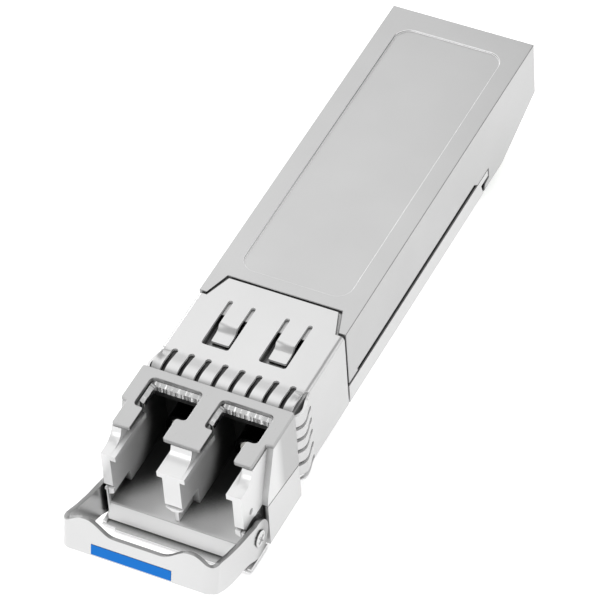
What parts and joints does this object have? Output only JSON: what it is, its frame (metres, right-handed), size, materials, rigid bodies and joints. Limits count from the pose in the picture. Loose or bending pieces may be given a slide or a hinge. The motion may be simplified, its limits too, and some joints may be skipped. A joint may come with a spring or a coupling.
{
  "type": "optical transceiver module",
  "caption": "Pluggable optical transceiver: slim metal body with edge connector, finger collar, duplex connector nose and a swinging stamped bail latch.",
  "frame": {"origin": "centre of the bounding box footprint, on the lowest plane of the nose", "axes": "+Y from the connector nose to the edge connector, +Z from the latch side to the label side, +X to the right seen from the nose"},
  "size_m": [0.0142, 0.0629, 0.0101],
  "materials": {
    "cast_tray": "satin die-cast zinc with bright nickel plating",
    "cover_metal": "satin die-cast zinc with bright nickel plating",
    "cast_nose": "satin die-cast zinc with bright nickel plating",
    "plate_metal": "smooth stamped sheet",
    "collar_sheet": "thin spring sheet",
    "bail_sheet": "stamped sheet, softly polished",
    "blue_paint": "flat blue marking paint",
    "pin_steel": "turned steel",
    "lever_steel": "stamped and formed sheet",
    "spring_steel": "spring sheet",
    "conductive_rubber": "silver-filled elastomer",
    "screw_steel": "black nickel screw",
    "black_plastic": "moulded liquid crystal polymer",
    "barrel_steel": "turned stainless steel",
    "zirconia": "ground zirconia",
    "gold": "gold plating",
    "can_nickel": "nickel plated can",
    "lens_glass": "ball lens",
    "polyimide": "polyimide flexible circuit",
    "board_green": "solder mask over glass epoxy",
    "chip_black": "moulded package",
    "solder": "tinned metal",
    "ceramic_cream": "ceramic package",
    "ferrite": "ferrite body",
    "capacitor_tan": "multilayer ceramic",
    "resistor_black": "thick film chip",
    "thermal_pad": "gap filler",
    "absorber": "radio absorber sheet"
  },
  "bodies": {
    "module": {"base_housing": "cast_tray", "top_cover": "cover_metal", "nose_upper": "cast_nose", "nose_top_plate": "plate_metal", "emi_collar": "collar_sheet", "bail_pins": "pin_steel", "lever_pin": "pin_steel", "housing_gasket": "conductive_rubber", "cover_screws": "screw_steel", "osa_holder": "black_plastic", "osa_clamp": "spring_steel", "osa_gaskets": "conductive_rubber", "tosa_barrel": "barrel_steel", "tosa_sleeve": "zirconia", "tosa_stub": "zirconia", "tosa_header": "gold", "tosa_can": "can_nickel", "tosa_lens": "lens_glass", "tosa_leads": "gold", "rosa_barrel": "barrel_steel", "rosa_sleeve": "zirconia", "rosa_stub": "zirconia", "rosa_header": "gold", "rosa_can": "can_nickel", "rosa_lens": "lens_glass", "rosa_leads": "gold", "tosa_flex": "polyimide", "rosa_flex": "polyimide", "pcb": "board_green", "edge_contacts": "gold", "laser_driver": "chip_black", "limiting_amp": "chip_black", "microcontroller": "chip_black", "eeprom": "chip_black", "eeprom_leads": "solder", "crystal": "ceramic_cream", "crystal_lid": "pin_steel", "inductors": "ferrite", "capacitors": "capacitor_tan", "resistors": "resistor_black", "solder_pads": "solder", "thermal_pad_driver": "thermal_pad", "thermal_pad_amp": "thermal_pad", "absorber_pad": "absorber"},
    "bail": {"bail_handle": "bail_sheet", "bail_stripe": "blue_paint"},
    "lever": {"latch_lever": "lever_steel", "lever_spring": "spring_steel", "lever_rivet": "pin_steel"}
  },
  "joints": [
    {"name": "bail_hinge", "type": "hinge", "parent": "module", "child": "bail", "pos_m": [0, -0.02355, 0.00285], "axis": [-1, 0, 0], "range_deg": [-22, 68]},
    {"name": "lever_hinge", "type": "hinge", "parent": "module", "child": "lever", "pos_m": [0, -0.02095, 0.0006], "axis": [-1, 0, 0], "range_deg": [-1.1, 3.2]}
  ],
  "couplings": [
    {"joint": "lever_hinge", "follows": "bail_hinge", "ratio": 0.044}
  ]
}
